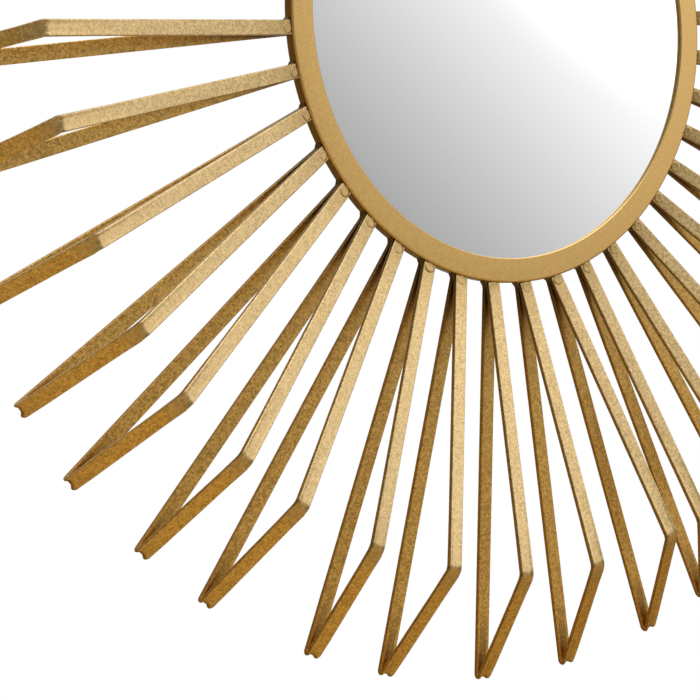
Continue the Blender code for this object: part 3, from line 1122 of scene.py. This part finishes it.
@dataclass(frozen=True)
class Viewpoint:
    """Where the camera stands and how it is turned, in metres and degrees; its lens is in millimetres."""

    place: tuple[float, float, float] = (-1.0141, -1.2501, -0.1796)
    azimuth: float = -35.21
    elevation: float = 1.63
    roll: float = -1.44
    lens: float = 117.7
    sensor: float = 36.0
    nearest: float = 0.05
    farthest: float = 50.0

    def make(self) -> None:
        """Add the camera."""
        azimuth, elevation, roll = map(math.radians, (self.azimuth, self.elevation, self.roll))
        forward = Vector((
            -math.sin(azimuth) * math.cos(elevation),
            math.cos(azimuth) * math.cos(elevation),
            -math.sin(elevation),
        ))
        level = Vector((math.cos(azimuth), math.sin(azimuth), 0.0))
        upright = level.cross(forward)
        right = math.cos(roll) * level + math.sin(roll) * upright
        above = math.cos(roll) * upright - math.sin(roll) * level
        data = bpy.data.cameras.new("camera")
        data.lens = self.lens
        data.sensor_width = self.sensor
        data.clip_start = self.nearest
        data.clip_end = self.farthest
        camera = bpy.data.objects.new("camera", data)
        turn = Matrix((right, above, -forward)).transposed().to_4x4()
        camera.matrix_world = Matrix.Translation(self.place) @ turn
        bpy.context.scene.collection.objects.link(camera)
        bpy.context.scene.camera = camera


@dataclass(frozen=True)
class Studio:
    """A bright room: light from the right and above, darker low at the left and behind the mirror.

    The light rises linearly across and upwards between its darkest and its brightest, with a soft lamp
    in front, one behind the mirror and a bright ceiling. The camera itself sees plain white.
    """

    white: Colour = (1.0, 1.0, 1.0, 1.0)
    rise_across: float = 2.999
    rise_up: float = 2.382
    rise_base: float = -1.163
    darkest: float = 0.54
    brightest: float = 1.10
    side_fall: float = 0.62
    side_edge: tuple[float, float] = (0.72, 0.95)
    lamp: tuple[float, float, float] = (0.709, -0.668, 0.223)
    lamp_edge: tuple[float, float] = (0.984, 0.9995)
    lamp_gain: float = 0.40
    low: Colour = (0.51, 0.39, 0.20, 1.0)
    low_edge: tuple[float, float] = (-0.02, -0.28)
    behind: Colour = (0.20, 0.13, 0.045, 1.0)
    behind_edge: tuple[float, float] = (0.35, -0.45)
    back_lamp: tuple[float, float, float] = (0.37, 0.92, 0.12)
    back_lamp_edge: tuple[float, float] = (0.78, 0.96)
    back_light: Colour = (0.80, 0.79, 0.76, 1.0)
    sky_gain: float = 0.75
    sky_edge: tuple[float, float] = (0.50, 0.95)
    display_power: float = 2.2
    floor_depth: float = -1.40
    floor_radius: float = 2.4
    floor_light: Colour = (0.84, 0.84, 0.83, 1.0)
    floor_dark: Colour = (0.78, 0.78, 0.77, 1.0)
    floor_grain: float = 0.03
    floor_roughness: float = 0.8

    def make(self) -> None:
        """Build the world light and the floor."""
        scene = bpy.context.scene
        scene.view_settings.view_transform = "Standard"
        scene.view_settings.look = "None"
        world = bpy.data.worlds.new("room")
        scene.world = world
        world.use_nodes = True
        kit = NodeKit(world.node_tree)
        towards = kit.signal("ShaderNodeTexCoord", "Generated")
        parts = kit.node("ShaderNodeSeparateXYZ", None, {0: towards})
        across, into, up = (Signal(kit, parts.outputs[index]) for index in range(3))
        level = across * self.rise_across + up * self.rise_up + self.rise_base
        level = level.clamped(self.darkest, self.brightest)
        level = level * (1.0 - self.side_fall * across.smooth(*self.side_edge))

        def towards_lamp(lamp: tuple[float, float, float]) -> Signal:
            """How closely a direction points at a lamp: 1 straight at it."""
            return across * lamp[0] + into * lamp[1] + up * lamp[2]

        level = level + self.lamp_gain * towards_lamp(self.lamp).smooth(*self.lamp_edge)
        level = level + self.sky_gain * up.smooth(*self.sky_edge)
        lit = kit.mix(up.smooth(*self.low_edge), kit.grey(level**self.display_power), self.low)
        on_back_lamp = towards_lamp(self.back_lamp).smooth(*self.back_lamp_edge)
        back = kit.mix(on_back_lamp, self.behind, self.back_light)
        lit = kit.mix(into.smooth(*self.behind_edge), back, lit)
        seen = kit.signal("ShaderNodeLightPath", "Is Camera Ray")
        colour = kit.mix(seen, lit, self.white)
        shown = kit.signal("ShaderNodeBackground", 0, None, {"Color": colour, "Strength": 1.0})
        kit.node("ShaderNodeOutputWorld", None, {"Surface": shown})
        self.make_floor()

    def make_floor(self) -> None:
        """A plain pale floor, well below a mirror hung at eye level."""
        deselect_all()
        bpy.ops.mesh.primitive_circle_add(
            vertices=96, radius=self.floor_radius, fill_type="NGON",
            location=(0.0, 0.0, self.floor_depth),
        )
        floor = bpy.context.object
        floor.name = "floor"
        bpy.ops.object.transform_apply(location=True)
        material, kit = new_material("pale_floor")
        grain = kit.noise(kit.place(), self.floor_grain, 4.0, Pattern.FLOOR_GRAIN)
        close_material(kit, {
            "Base Color": kit.mix(grain, self.floor_dark, self.floor_light),
            "Roughness": self.floor_roughness,
        })
        dress(floor, material)
        floor.visible_glossy = False


def main() -> None:
    """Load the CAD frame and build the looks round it."""
    logging.basicConfig(level=logging.INFO, format="%(name)s: %(message)s")
    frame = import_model()
    Viewpoint().make()
    Studio().make()
    SunburstMirror(FoldedRay(), WeldBead(), RingFrame()).build(frame["nodes"])


if __name__ == "__main__":
    main()
